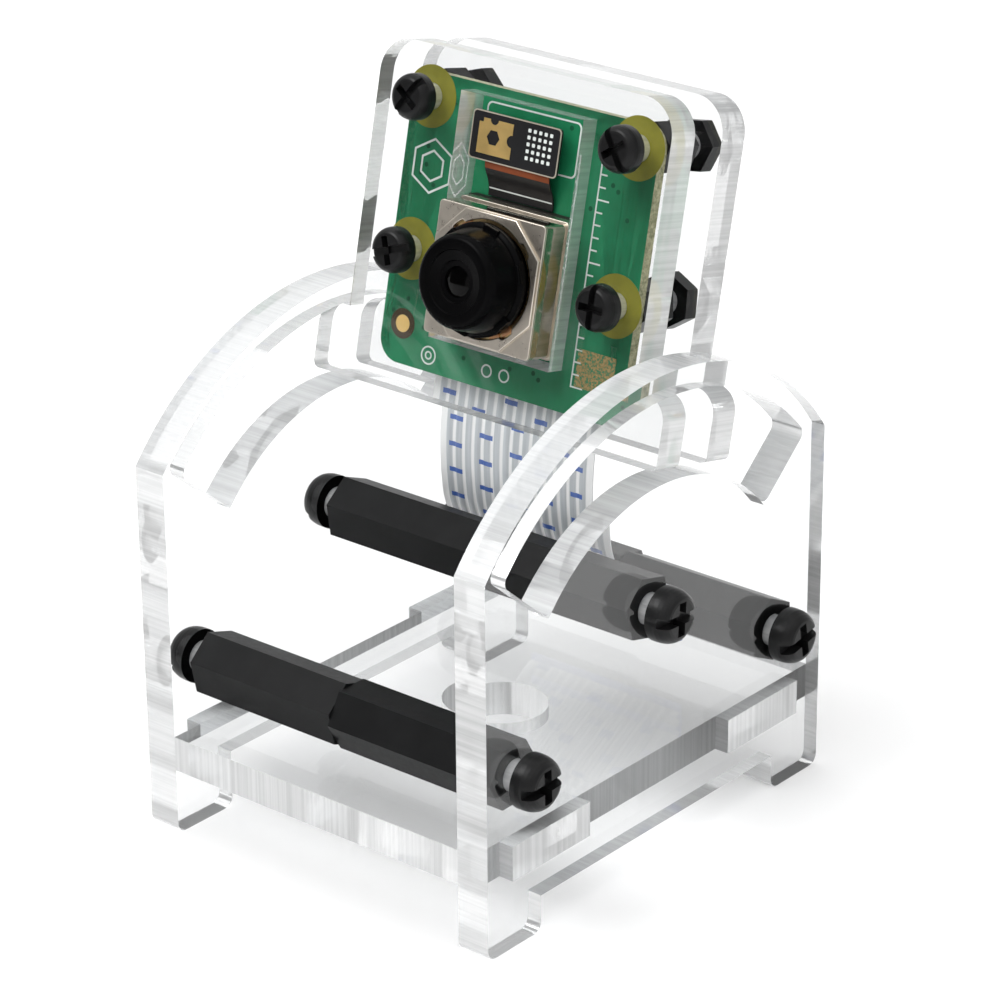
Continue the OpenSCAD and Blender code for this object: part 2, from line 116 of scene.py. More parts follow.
# ---------- node helpers ----------
class Nodes:
    """Short calls for building one material's node tree, which starts as a principled shader."""

    def __init__(self, name):
        self.material = bpy.data.materials.new(name)
        self.material.use_nodes = True
        self.tree = self.material.node_tree
        self.shader = self.tree.nodes["Principled BSDF"]
        self.output = self.tree.nodes["Material Output"]

    def add(self, kind, inputs=None, **settings):
        node = self.tree.nodes.new("ShaderNode" + kind)
        for key, value in settings.items():
            setattr(node, key, value)
        for key, value in (inputs or {}).items():
            self.feed(node.inputs[key], value)
        return node

    def feed(self, socket, value):
        if isinstance(value, bpy.types.NodeSocket):
            self.tree.links.new(value, socket)
        else:
            socket.default_value = value

    def set(self, **inputs):
        for key, value in inputs.items():
            self.feed(self.shader.inputs[key.replace("_", " ")], value)

    def place(self, scale=(1, 1, 1), turn=(0, 0, 0)):
        """Object coordinates in millimetres, turned and then scaled."""
        coord = self.add("TexCoord").outputs["Object"]
        turned = self.add("Mapping", {"Vector": coord, "Rotation": turn}).outputs[0]
        factor = [s / MM for s in scale]
        return self.add("Mapping", {"Vector": turned, "Scale": factor}).outputs[0]

    def noise(self, where, scale=1.0, detail=2.0, rough=0.5):
        inputs = {"Vector": where, "Scale": scale, "Detail": detail, "Roughness": rough}
        return self.add("TexNoise", inputs).outputs["Fac"]

    def ramp(self, value, *stops):
        node = self.add("ValToRGB", {"Fac": value})
        elements = node.color_ramp.elements
        while len(elements) < len(stops):
            elements.new(0.5)
        for element, (at, colour) in zip(elements, stops):
            element.position = at
            element.color = (*colour, 1)
        return node.outputs["Color"]

    def math(self, operation, *values):
        node = self.add("Math", operation=operation)
        for socket, value in zip(node.inputs, values):
            self.feed(socket, value)
        return node.outputs[0]

    def mix(self, factor, a, b):
        node = self.add("Mix", data_type="RGBA")
        sockets = (node.inputs["Factor"], node.inputs[6], node.inputs[7])
        for socket, value in zip(sockets, (factor, a, b)):
            self.feed(socket, value if isinstance(value, (float, bpy.types.NodeSocket)) else (*value, 1))
        return node.outputs[2]

    def bump(self, height, strength, depth):
        """Raises the surface by height, up to depth in millimetres."""
        inputs = {"Height": height, "Strength": strength, "Distance": depth * MM}
        self.set(Normal=self.add("Bump", inputs).outputs[0])


# ---------- materials ----------
# Cut edges of the sheet: lines per millimetre, least and most haze, and how deep the lines look
EDGE_STRIPES = 2.6
EDGE_HAZE = (0.42, 0.56)
EDGE_BUMP = 0.15
FAINTEST_LINES = 0.1
SHEET_TINT = (0.925, 0.93, 0.932)
# Painted shade: the colour of cut edges that face up, darker than the sheet
TOP_EDGE_PAINTED_SHADE = (0.74, 0.75, 0.755)
SHADOW_TINT = (0.97, 0.972, 0.974)
ACRYLIC_IOR = 1.49
GLASS_IOR = 1.52
COATED_LENS_IOR = 1.2
RIBBON_W = 16.0
CONDUCTORS = 15
CONDUCTOR_PITCH = 1.0
PRINT_PITCH = 3.2
DASH_PITCH = 2.3


def clear_acrylic(name, across):
    """Clear sheet with polished faces and paler cut edges, finely lined in places. Cut edges that face up are
    darkened with painted shade.

    across is the sheet's thickness direction.
    """
    n = Nodes(name)
    turn = Vector(across).rotation_difference(Vector((1, 0, 0))).to_euler()
    lines = n.noise(n.place((0.03, EDGE_STRIPES, EDGE_STRIPES), turn), 1.0, 3.0, 0.6)
    soft = n.noise(n.place((0.3, 0.5, 0.5), turn), 1.0, 1.0)
    patches = n.noise(n.place((0.05, 0.11, 0.11), turn), 1.0, 1.0)
    lined = n.add("MapRange", {"Value": patches, "From Min": 0.48, "From Max": 0.6}).outputs[0]
    strength = n.math("ADD", n.math("MULTIPLY", lined, 1 - FAINTEST_LINES), FAINTEST_LINES)
    height = n.math("ADD", n.math("MULTIPLY", lines, strength), n.math("MULTIPLY", soft, 0.5))
    normal = n.add("TexCoord").outputs["Normal"]
    facing = n.add("VectorMath", {0: normal, 1: tuple(across)}, operation="DOT_PRODUCT")
    edge = n.math("LESS_THAN", n.math("ABSOLUTE", facing.outputs["Value"]), 0.5)
    haze = n.add("MapRange", {"Value": lines, "From Min": 0.35, "From Max": 0.65,
                              "To Min": EDGE_HAZE[0], "To Max": EDGE_HAZE[1]}).outputs[0]
    clearness = n.math("SUBTRACT", 1.0, n.math("MULTIPLY", edge, haze))
    # Cut edges that face up get the darker colour, a painted shade
    up = n.add("MapRange", {"Value": n.add("SeparateXYZ", {"Vector": normal}).outputs["Z"],
                            "From Min": 0.1, "From Max": 0.8}).outputs[0]
    n.set(Base_Color=n.mix(n.math("MULTIPLY", edge, up), SHEET_TINT, TOP_EDGE_PAINTED_SHADE))
    n.set(Roughness=0.0, IOR=ACRYLIC_IOR, Transmission_Weight=clearness)
    n.bump(height, n.math("MULTIPLY", edge, EDGE_BUMP), 0.06)
    lamp = n.add("LightPath").outputs["Is Shadow Ray"]
    clear = n.add("BsdfTransparent", {"Color": (*SHADOW_TINT, 1)}).outputs[0]
    both = n.add("MixShader", {0: lamp, 1: n.shader.outputs[0], 2: clear})
    n.tree.links.new(both.outputs[0], n.output.inputs["Surface"])
    return n.material


def plastic(name, colour, roughness, light=1.35, gloss=0.2):
    """Moulded plastic with a faint grain, mottled up to light times its colour."""
    n = Nodes(name)
    where = n.place()
    mottle = n.noise(where, 0.35, 3.0)
    pale = tuple(min(1, c * light) for c in colour)
    n.set(Base_Color=n.ramp(mottle, (0.35, colour), (0.7, pale)), Specular_IOR_Level=gloss)
    grain = n.noise(where, 2.0, 4.0, 0.6)
    rough = n.add("MapRange", {"Value": grain, "To Min": roughness * 0.8, "To Max": roughness * 1.2})
    n.set(Roughness=rough.outputs[0])
    n.bump(grain, 0.15, 0.03)
    return n.material


def metal(name, colour, roughness, grain=0.1):
    """Metal with darker patches and a fine grain."""
    n = Nodes(name)
    where = n.place()
    patches = n.noise(where, 0.5, 4.0)
    dark = tuple(c * 0.8 for c in colour)
    n.set(Base_Color=n.ramp(patches, (0.3, dark), (0.7, colour)), Metallic=1.0)
    fine = n.noise(where, 3.0, 3.0)
    rough = n.add("MapRange", {"Value": fine, "To Min": roughness * 0.75, "To Max": roughness * 1.25})
    n.set(Roughness=rough.outputs[0])
    n.bump(fine, grain, 0.02)
    return n.material


def green_board():
    """Solder mask over faint copper, with a bare fibreglass rim."""
    n = Nodes("green_board")
    where = n.place(turn=(LEAN, 0, 0))
    cloud = n.noise(where, 0.3, 3.0)
    mask = n.ramp(cloud, (0.3, (0.009, 0.17, 0.068)), (0.7, (0.016, 0.23, 0.1)))
    tracks = n.add("TexBrick", {"Vector": where, "Scale": 0.35, "Mortar Size": 0.02,
                                "Color1": (1, 1, 1, 1), "Color2": (0.8, 0.8, 0.8, 1),
                                "Mortar": (0.0, 0.0, 0.0, 1)}).outputs["Color"]
    fibre = n.noise(where, 2.6, 3.0, 0.7)
    rim = n.ramp(fibre, (0.35, (0.16, 0.17, 0.07)), (0.65, (0.5, 0.48, 0.3)))
    normal = n.add("TexCoord").outputs["Normal"]
    facing = n.add("VectorMath", {0: normal, 1: tuple(BACK)}, operation="DOT_PRODUCT")
    edge = n.math("LESS_THAN", n.math("ABSOLUTE", facing.outputs["Value"]), 0.5)
    copper = n.mix(n.math("MULTIPLY", tracks, 0.1), mask, (0.03, 0.28, 0.14))
    n.set(Base_Color=n.mix(edge, copper, rim), Roughness=0.36, Specular_IOR_Level=0.3)
    n.bump(tracks, 0.15, 0.02)
    return n.material


def glass(name, colour, ior=GLASS_IOR):
    """Clear tinted glass."""
    n = Nodes(name)
    tint = n.noise(n.place(), 0.4)
    n.set(Base_Color=n.ramp(tint, (0.3, colour), (0.7, tuple(c * 0.9 for c in colour))))
    n.set(Roughness=0.0, IOR=ior, Transmission_Weight=1.0)
    return n.material


def ribbon_film():
    """White film over flat grey conductors, with columns of blue dashes."""
    n = Nodes("ribbon_film")
    axes = n.add("SeparateXYZ", {"Vector": n.place()}).outputs
    x = axes["X"]
    wave = n.math("COSINE", n.math("MULTIPLY", x, 2 * math.pi / CONDUCTOR_PITCH))
    stripes = n.add("MapRange", {"Value": wave, "From Min": -0.75, "From Max": -0.2}).outputs[0]
    inside = n.math("LESS_THAN", n.math("ABSOLUTE", x), CONDUCTORS * CONDUCTOR_PITCH / 2)
    band = n.math("MULTIPLY", stripes, inside)
    streak = n.noise(n.place((3, 0.1, 0.1)), 1.0, 3.0)
    tin = n.ramp(streak, (0.3, (0.42, 0.45, 0.47)), (0.7, (0.56, 0.59, 0.62)))
    film = n.mix(band, (0.86, 0.87, 0.87), tin)
    printed = RIBBON_W / 2 - CONDUCTOR_PITCH
    column = n.math("DIVIDE", n.math("ADD", x, printed), PRINT_PITCH)
    stagger = n.math("MULTIPLY", n.math("FLOOR", column), 0.37)
    across = n.math("LESS_THAN", n.math("FRACT", column), 0.42)
    dash = n.math("FRACT", n.math("ADD", n.math("DIVIDE", axes["Z"], DASH_PITCH), stagger))
    along = n.math("MULTIPLY", n.math("GREATER_THAN", dash, 0.3), n.math("LESS_THAN", dash, 0.48))
    middle = n.math("LESS_THAN", n.math("ABSOLUTE", x), printed)
    mark = n.math("MULTIPLY", n.math("MULTIPLY", across, along), middle)
    n.set(Base_Color=n.mix(mark, film, (0.07, 0.14, 0.42)), Roughness=0.3, Coat_Weight=0.3)
    n.bump(band, 0.3, 0.05)
    return n.material


def speckled_copper():
    """Etched mark: brown and green specks."""
    n = Nodes("speckled_copper")
    green = (0.02, 0.2, 0.09)
    brown = (0.3, 0.2, 0.07)
    tan = (0.42, 0.3, 0.12)
    specks = n.noise(n.place(), 4.5, 4.0, 0.7)
    n.set(Base_Color=n.ramp(specks, (0.42, green), (0.5, brown), (0.62, tan)), Roughness=0.45)
    n.bump(specks, 0.3, 0.02)
    return n.material


MATERIALS = {
    "clear_side": clear_acrylic("clear_side", (1, 0, 0)),
    "clear_base": clear_acrylic("clear_base", (0, 0, 1)),
    "clear_carriage": clear_acrylic("clear_carriage", BACK),
    "black_nylon": plastic("black_nylon", (0.007, 0.0072, 0.0075), 0.4, gloss=0.1),
    "screw_black": plastic("screw_black", (0.006, 0.006, 0.0063), 0.3, gloss=0.2),
    "green_board": green_board(),
    "black_chips": plastic("black_chips", (0.015, 0.015, 0.016), 0.5),
    "moulded_base": plastic("moulded_base", (0.02, 0.018, 0.016), 0.5),
    "nickel_can": metal("nickel_can", (0.66, 0.60, 0.52), 0.3),
    "silicon": plastic("silicon", (0.03, 0.035, 0.05), 0.2),
    "filter_glass": glass("filter_glass", (0.6, 0.85, 0.9)),
    "magnet_nickel": metal("magnet_nickel", (0.55, 0.55, 0.57), 0.3),
    "spring_brass": metal("spring_brass", (0.75, 0.55, 0.28), 0.3),
    "dark_flex": plastic("dark_flex", (0.010, 0.010, 0.011), 0.35),
    "connector_black": plastic("connector_black", (0.012, 0.012, 0.012), 0.42),
    "connector_ivory": plastic("connector_ivory", (0.62, 0.58, 0.46), 0.45),
    "contact_brass": metal("contact_brass", (0.83, 0.66, 0.36), 0.28),
    "ribbon_white": ribbon_film(),
    "ribbon_stiffener": plastic("ribbon_stiffener", (0.02, 0.07, 0.38), 0.35),
    "lens_black": plastic("lens_black", (0.0018, 0.0018, 0.002), 0.25, gloss=0.035),
    "copper_coil": metal("copper_coil", (0.72, 0.38, 0.2), 0.3),
    "lens_glass": glass("lens_glass", (0.05, 0.06, 0.07), COATED_LENS_IOR),
    "nickel_mirror": metal("nickel_mirror", (0.62, 0.57, 0.48), 0.12, 0.04),
    "amber_film": plastic("amber_film", (0.16, 0.035, 0.008), 0.35),
    "white_ink": plastic("white_ink", (0.62, 0.66, 0.64), 0.5, light=1.2),
    "pale_rim": plastic("pale_rim", (0.3, 0.27, 0.22), 0.5),
    "gold_plate": metal("gold_plate", (0.95, 0.66, 0.25), 0.35),
    "bare_laminate": plastic("bare_laminate", (0.20, 0.19, 0.025), 0.4),
    "dark_laminate": plastic("dark_laminate", (0.045, 0.03, 0.015), 0.5),
    "mask_dimple": plastic("mask_dimple", (0.006, 0.075, 0.035), 0.4),
    "speckled_copper": speckled_copper(),
}


def dress_frame():
    """Gives each CAD node the material of its slot in the record, or its own one from the list here."""
    slots = {p["node"]: p["material_slot"] for p in frame["record"]["subparts"]}
    own = {"left_side_plate": "clear_side", "right_side_plate": "clear_side",
           "base_plate": "clear_base", "front_plate": "clear_carriage",
           "back_plate": "clear_carriage", "bar_screws": "screw_black",
           "camera_screws": "screw_black", "camera_nuts": "screw_black"}
    for name, node in NODES.items():
        material = MATERIALS[own.get(name, slots[name])]
        node.data.materials.clear()
        node.data.materials.append(material)


dress_frame()


# ---------- mesh helpers ----------
SHARP_ANGLE = 35
BOARD_FRONT = BOARD_LOW.y
TO_DEPTH = Matrix.Rotation(math.pi / 2, 4, "X")


def piece_from(name, mesh, material, body=None, place=None):
    """Turns a mesh in mm into a piece in metres that rides on a body, if one is named."""
    mesh.transform(Matrix.Scale(MM, 4) @ (place or Matrix.Identity(4)))
    mesh.name = name
    mesh.materials.clear()
    mesh.materials.append(MATERIALS[material])
    mesh.shade_smooth()
    mesh.set_sharp_from_angle(angle=math.radians(SHARP_ANGLE))
    piece = bpy.data.objects.new(name, mesh)
    bpy.context.scene.collection.objects.link(piece)
    if body:
        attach(piece, body)
    return piece


def flat(name, loops, low, high, material, soft=0.0, body="carriage"):
    """Closed loops of [x, v] points, filled and given thickness from depth low to depth high.

    Inner loops are holes, and soft is the radius of the rounded edges.
    """
    curve = bpy.data.curves.new(name, "CURVE")
    curve.dimensions = "2D"
    curve.fill_mode = "BOTH"
    curve.extrude = (high - low) / 2 - soft
    curve.bevel_depth = soft
    curve.bevel_resolution = 2
    curve.offset = -soft
    for loop in loops:
        spline = curve.splines.new("POLY")
        spline.points.add(len(loop) - 1)
        for point, at in zip(spline.points, loop):
            point.co = (*at, 0, 1)
        spline.use_cyclic_u = True
    holder = bpy.data.objects.new(name, curve)
    mesh = bpy.data.meshes.new_from_object(holder)
    bpy.data.objects.remove(holder)
    bpy.data.curves.remove(curve)
    mesh.transform(TO_DEPTH)
    mesh.transform(Matrix.Translation((0, (low + high) / 2, 0)))
    return piece_from(name, mesh, material, body, ON_CARRIAGE)


def on_board(name, loops, h0, h1, material, soft=0.0):
    """A flat piece from height h0 to h1 above the board's front."""
    return flat(name, loops, BOARD_FRONT - h1, BOARD_FRONT - h0, material, soft=soft)


def arc(x, v, r, start, end, steps):
    """Points along an arc about x, v, from start to end in degrees."""
    angles = [math.radians(start + (end - start) * i / steps) for i in range(steps + 1)]
    return [[x + r * math.cos(a), v + r * math.sin(a)] for a in angles]


def ring(x, v, r, steps=48):
    """A circle's loop about x, v."""
    return arc(x, v, r, 0, 360, steps)[:-1]


def rounded(x0, v0, x1, v1, r, steps=6):
    """A rectangle's loop with corners of radius r."""
    corners = [(x1 - r, v0 + r, -90), (x1 - r, v1 - r, 0), (x0 + r, v1 - r, 90), (x0 + r, v0 + r, 180)]
    return [p for x, v, a in corners for p in arc(x, v, r, a, a + 90, steps)]


def clipped(half, cut):
    """A square's loop about the lens axis with its corners cut off."""
    loop = []
    for turn in range(4):
        c, s = round(math.cos(turn * math.pi / 2)), round(math.sin(turn * math.pi / 2))
        for x, v in ((half, -half + cut), (half, half - cut)):
            loop.append([x * c - v * s, LENS_V + x * s + v * c])
    return loop


def bar_loop(x, v, length, width, turn=0):
    """A thin rectangle's loop with its middle at x, v."""
    c, s = math.cos(math.radians(turn)), math.sin(math.radians(turn))
    ends = [(-1, -1), (1, -1), (1, 1), (-1, 1)]
    return [[x + a * length / 2 * c - b * width / 2 * s, v + a * length / 2 * s + b * width / 2 * c]
            for a, b in ends]


def lathe(name, profile, material, steps):
    """Profile of [radius, height above the board], turned about the lens axis, on the lens body."""
    mesh = bmesh.new()
    rows = []
    for i in range(steps):
        a = 2 * math.pi * i / steps
        rows.append([mesh.verts.new((r * math.cos(a), BOARD_FRONT - h, LENS_V + r * math.sin(a)))
                     for r, h in profile])
    for i in range(steps):
        here, there = rows[i], rows[(i + 1) % steps]
        for k in range(len(profile)):
            j = (k + 1) % len(profile)
            mesh.faces.new((here[k], here[j], there[j], there[k]))
    bmesh.ops.recalc_face_normals(mesh, faces=mesh.faces)
    data = bpy.data.meshes.new(name)
    mesh.to_mesh(data)
    mesh.free()
    return piece_from(name, data, material, "lens", ON_CARRIAGE)


def sweep(name, route, sections, material, body=None, place=None):
    """Joins closed sections, one at each point of a route. sections(i) gives that ring of points in mm."""
    mesh = bmesh.new()
    rings = [[mesh.verts.new(p) for p in sections(i)] for i in range(len(route))]
    for here, there in zip(rings, rings[1:]):
        for k in range(len(here)):
            j = (k + 1) % len(here)
            mesh.faces.new((here[k], here[j], there[j], there[k]))
    mesh.faces.new(rings[0])
    mesh.faces.new(list(reversed(rings[-1])))
    bmesh.ops.recalc_face_normals(mesh, faces=mesh.faces)
    data = bpy.data.meshes.new(name)
    mesh.to_mesh(data)
    mesh.free()
    return piece_from(name, data, material, body, place)


# ---------- ribbon ----------
RIBBON_T = 0.12
# The film's swelling over each conductor: its height, and half its width at the foot and the top
RIB_H = 0.05
RIB_FOOT = 0.36
RIB_TOP = 0.26
# Y and Z along the hanging stretch, from the connector down to the middle bar
ROUTE = [(4.84, 34.93), (4.45, 33.2), (4.08, 31.3), (3.85, 29.3), (3.8, 27.3),
         (3.9, 25.3), (4.15, 23.5), (4.6, 22.2), (5.0, 21.6)]
# The folds lie between two depths. The top one starts at a height at Y 0 and falls by the slope to the back,
# and each next one lies a pitch lower.
FOLD_NEAR = 6.0
FOLD_FAR = 13.1
FOLD_END = 13.3
FOLD_TOP = 24.18
FOLD_SLOPE = 0.573
FOLD_PITCH = 0.52
FOLD_RUNS = 9
FOLD_BULGE = 0.22


def smooth_route(points, steps):
    """Catmull-Rom curve through the route's points."""
    padded = [points[0]] + list(points) + [points[-1]]
    out = []
    for a, b, c, d in zip(padded, padded[1:], padded[2:], padded[3:]):
        for k in range(steps):
            t = k / steps
            out.append(tuple(0.5 * (2 * q + (r - p) * t + (2 * p - 5 * q + 4 * r - s) * t * t
                                    + (3 * q - p - 3 * r + s) * t ** 3)
                             for p, q, r, s in zip(a, b, c, d)))
    return out + [points[-1]]


def folded_route():
    """The hanging stretch, then runs to and fro down a slope behind the middle bar, up to the bare end."""
    route = smooth_route(ROUTE, 5)

    def on_slope(y, layer):
        return FOLD_TOP - FOLD_SLOPE * y - FOLD_PITCH * layer

    for run in range(FOLD_RUNS):
        last = run == FOLD_RUNS - 1
        near, far = FOLD_NEAR, FOLD_END if last else FOLD_FAR
        begin, end = (near, far) if run % 2 == 0 else (far, near)
        skip = 0.05 if run == 0 else 0
        for step in range(5):
            y = begin + (end - begin) * (skip + (1 - skip) * step / 4)
            route.append((y, on_slope(y, run)))
        if not last:
            side = FOLD_BULGE if run % 2 == 0 else -FOLD_BULGE
            for step in (1, 2, 3):
                a = math.pi * step / 4
                route.append((end + side * math.sin(a), on_slope(end, run + (1 - math.cos(a)) / 2)))
    y, z = route[-1]
    return route + [(y + 0.2, z + 0.15), (y + 0.25, z + 0.45)]


def make_ribbon():
    """White ribbon from the board's connector down to its folds on the stand."""
    route = folded_route()
    count = len(route)
    half = RIBBON_W / 2
    across = [-half]
    for i in range(CONDUCTORS):
        x = (i - (CONDUCTORS - 1) / 2) * CONDUCTOR_PITCH
        across += [x - RIB_FOOT, x - RIB_TOP, x + RIB_TOP, x + RIB_FOOT]
    across.append(half)
    swell = [0.0] + [0, RIB_H, RIB_H, 0] * CONDUCTORS + [0.0]

    def section(i):
        a, b = route[max(i - 1, 0)], route[min(i + 1, count - 1)]
        size = math.dist(a, b)
        side = (-(b[1] - a[1]) / size, (b[0] - a[0]) / size)
        y, z = route[i]
        front = [(x, y - side[0] * (RIBBON_T / 2 + s), z - side[1] * (RIBBON_T / 2 + s))
                 for x, s in zip(across, swell)]
        rear = [(x, y + side[0] * (RIBBON_T / 2 + s), z + side[1] * (RIBBON_T / 2 + s))
                for x, s in zip(across, swell)]
        return front + rear[::-1]

    ribbon = sweep("flat_ribbon", route, section, "ribbon_white")
    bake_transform(ribbon)
    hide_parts("ribbon_cable", "ribbon_folds")


make_ribbon()


# ---------- camera module ----------
CAN_HALF = (CAN_HIGH.x - CAN_LOW.x) / 2
CAN_TOP = BOARD_FRONT - CAN_LOW.y
CAN_HOLE = 4.75
CAN_SHEET = 0.25
CAN_RIM = 0.12
CORNER_CUT = 2.7
SKIRT_OUT = 0.18
# Heights above the board
GASKET_FOOT = 0.06
SKIRT_FOOT = 0.95
WALL_FOOT = 1.0
SKIRT_TOP = 2.1
CORNER_FOOT = 4.55
WALL_TOP = 4.6
LEAD_TOP = 4.7
RIM_FOOT = 4.72
CORNER_TOP = 4.78
# Angle and distance from the lens axis
COIL_LEADS = [(122, 4.5), (140, 4.55), (-52, 4.5), (-68, 4.6)]
NOTCHES = [38, 128, 218, 308]


def notched_hole(r, notch, reach, turns):
    """Round hole's loop with shallow notches at the given angles."""
    loop = []
    for turn in range(0, 360, 3):
        near = any(abs((turn - t + 180) % 360 - 180) <= notch for t in turns)
        a = math.radians(turn)
        here = r + (reach if near else 0)
        loop.append([here * math.cos(a), LENS_V + here * math.sin(a)])
    return loop


def square_about_lens(half, r):
    """A square's loop about the lens axis with corners of radius r."""
    return rounded(-half, LENS_V - half, half, LENS_V + half, r)


def make_can():
    """Folded can: a raised eight-sided top, four low corners, thin walls and a wider lower shell."""
    square = square_about_lens(CAN_HALF, 0.35)
    inner = square_about_lens(CAN_HALF - CAN_SHEET, 0.2)
    skirt = square_about_lens(CAN_HALF + SKIRT_OUT, 0.4)
    top_loops = [clipped(CAN_HALF - CAN_RIM, CORNER_CUT), notched_hole(CAN_HOLE, 7, 0.3, NOTCHES)]
    corner_loops = [square, ring(0, LENS_V, CAN_HOLE + 0.35)]
    top = on_board("can_top", top_loops, RIM_FOOT, CAN_TOP, "nickel_can", 0.09)
    on_board("can_corners", corner_loops, CORNER_FOOT, CORNER_TOP, "nickel_can", 0.07)
    on_board("can_walls", [square, inner], WALL_FOOT, WALL_TOP, "nickel_mirror", 0.04)
    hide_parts("sensor_can")
    on_board("can_skirt", [skirt, inner], SKIRT_FOOT, SKIRT_TOP, "nickel_can", 0.06)
    for i, (angle, reach) in enumerate(COIL_LEADS):
        a = math.radians(angle)
        spot = bar_loop(reach * math.cos(a), LENS_V + reach * math.sin(a), 1.0, 0.7, angle + 90)
        on_board(f"coil_lead_{i + 1}", [spot], WALL_TOP, LEAD_TOP, "copper_coil", 0.02)
    # Dark ring that fills the gap from the board up to the can's skirt
    on_board("can_dark_ring", [square, inner], GASKET_FOOT, SKIRT_FOOT, "moulded_base", 0.05)


# Teeth round the lens's flange
TEETH = 6
FIRST_TOOTH = 18
TOOTH_R = 4.3
TOOTH_FOOT = 5.6
TOOTH_TOP = 6.05


def make_lens():
    """Wide lens: a smooth barrel with a rounded rim, stepped rings inside it, and a notched flange."""
    top = BOARD_FRONT - carriage_box("lens_barrel")[0].y
    barrel = [[3.3, 5.2], [4.2, 5.2], [4.22, 6.0], [4.1, 6.5], [3.96, 7.2], [3.85, top - 0.8],
              [3.76, top - 0.42], [3.62, top - 0.17], [3.45, top - 0.03], [3.3, top], [2.6, top - 0.05],
              [2.52, top - 0.16], [1.75, top - 0.34], [1.65, top - 0.46], [1.25, top - 0.5],
              [1.2, top - 0.8], [1.2, top - 1.1], [2.6, 6.9], [2.6, 5.6], [3.3, 5.4]]
    rim = [[3.4, 5.12], [4.5, 5.12], [4.58, 5.22], [4.58, 5.62], [4.46, 5.76], [4.1, 5.86], [3.4, 5.86]]
    lens = lathe("lens_body", barrel, "lens_black", 128)
    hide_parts("lens_barrel")
    flange = lathe("lens_flange", rim, "lens_black", 128)
    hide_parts("lens_holder")
    for i in range(TEETH):
        angle = FIRST_TOOTH + 360 / TEETH * i
        a = math.radians(angle)
        tooth = bar_loop(TOOTH_R * math.cos(a), LENS_V + TOOTH_R * math.sin(a), 1.5, 0.5, angle + 90)
        low, high = BOARD_FRONT - TOOTH_TOP, BOARD_FRONT - TOOTH_FOOT
        flat(f"flange_tooth_{i + 1}", [tooth], low, high, "lens_black", soft=0.08, body="lens")
    lathe("holder_tube", [[3.42, 2.7], [3.9, 2.7], [3.9, 5.15], [3.42, 5.15]], "lens_black", 64)


# Height above the board and height on the board, along the flex
FLEX_ROUTE = [(0.2, 35.7), (0.25, 36.3), (0.5, 37.0), (0.95, 37.7), (1.15, 38.3), (1.17, 39.2)]
FLEX_SIDES = (-4.2, 2.4)
FLEX_T = 0.12
STIFFENER_FOOT = 1.3
STIFFENER_TOP = 1.55
DOT_PITCH = 0.55


def make_flex():
    """Black flex from the can up to its connector, with a stiffener, a gold ground pad and white marks."""
    x0, x1 = FLEX_SIDES
    points = smooth_route(FLEX_ROUTE, 6)

    def section(i):
        h, v = points[i]
        return [(x0, BOARD_FRONT - h, v), (x1, BOARD_FRONT - h, v),
                (x1, BOARD_FRONT - h - FLEX_T, v), (x0, BOARD_FRONT - h - FLEX_T, v)]

    flex = sweep("module_flex", points, section, "dark_flex", "carriage", ON_CARRIAGE)
    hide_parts("sensor_flex")

    def strip(name, v_low, v_high, inset, lift, material):
        """A thin layer that follows the flex between two heights."""
        rows = [p for p in points if v_low <= p[1] <= v_high]

        def part(i):
            h, v = rows[i]
            top = BOARD_FRONT - h - FLEX_T
            return [(x0 + inset, top + 0.01, v), (x1 - inset, top + 0.01, v),
                    (x1 - inset, top - lift, v), (x0 + inset, top - lift, v)]

        sweep(name, rows, part, material, "carriage", ON_CARRIAGE)

    strip("flex_amber_band", 37.95, 38.7, 0.02, 0.02, "amber_film")
    strip("flex_white_line", 36.28, 36.42, 0.1, 0.02, "white_ink")
    low, high = carriage_box("flex_stiffener")
    edge = rounded(low.x, low.z, high.x, high.z, 0.35)
    stiffener = on_board("stiffener", [edge], STIFFENER_FOOT, STIFFENER_TOP, "dark_flex", 0.04)
    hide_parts("flex_stiffener")
    rim = [edge, rounded(low.x + 0.1, low.z + 0.1, high.x - 0.1, high.z - 0.1, 0.3)]
    on_board("stiffener_rim", rim, STIFFENER_TOP - 0.05, STIFFENER_TOP + 0.02, "pale_rim")
    px, pv = low.x + 0.75, low.z + 0.55
    outline = ([[px, pv], [px + 3.45, pv]] + arc(px + 3.45, pv + 1.45, 0.5, 270, 90, 8)
               + [[px + 3.45, pv + 2.85]] + arc(px + 1.5, pv + 2.85, 0.42, 0, -180, 8)
               + [[px + 0.4, pv + 2.85], [px + 0.4, pv + 2.5], [px, pv + 2.5]])
    pad_loops = [outline, ring(px + 1.55, pv + 1.4, 0.66, 6)]
    on_board("ground_pad", pad_loops, STIFFENER_TOP, STIFFENER_TOP + 0.025, "gold_plate")
    marks = []
    for i in range(5):
        for k in range(5):
            x, v = low.x + 5.85 + DOT_PITCH * i, low.z + 1.05 + DOT_PITCH * k
            marks.append(rounded(x - 0.15, v - 0.15, x + 0.15, v + 0.15, 0.07, 3))
    on_board("stiffener_dots", marks, STIFFENER_TOP, STIFFENER_TOP + 0.02, "white_ink")


make_can()
make_lens()
make_flex()


# ---------- board details ----------
INK = 0.025
INK_LINE = 0.14
SCREW_PAD_R = 2.55
SCREW_HOLE_R = 1.12
FIDUCIAL_RADII = (1.25, 0.72)
PATCH_SIZE = (3.75, 3.1)
SCALE_X = 7.35
SCALE_FOOT = 7.2
SCALE_MARKS = 19
SCALE_LINE = 0.13
LONG_MARK = 1.1
SHORT_MARK = 0.6
HEXAGON_RADII = (2.3, 1.35)
HEXAGON_LINE = 0.2
VIAS = 46


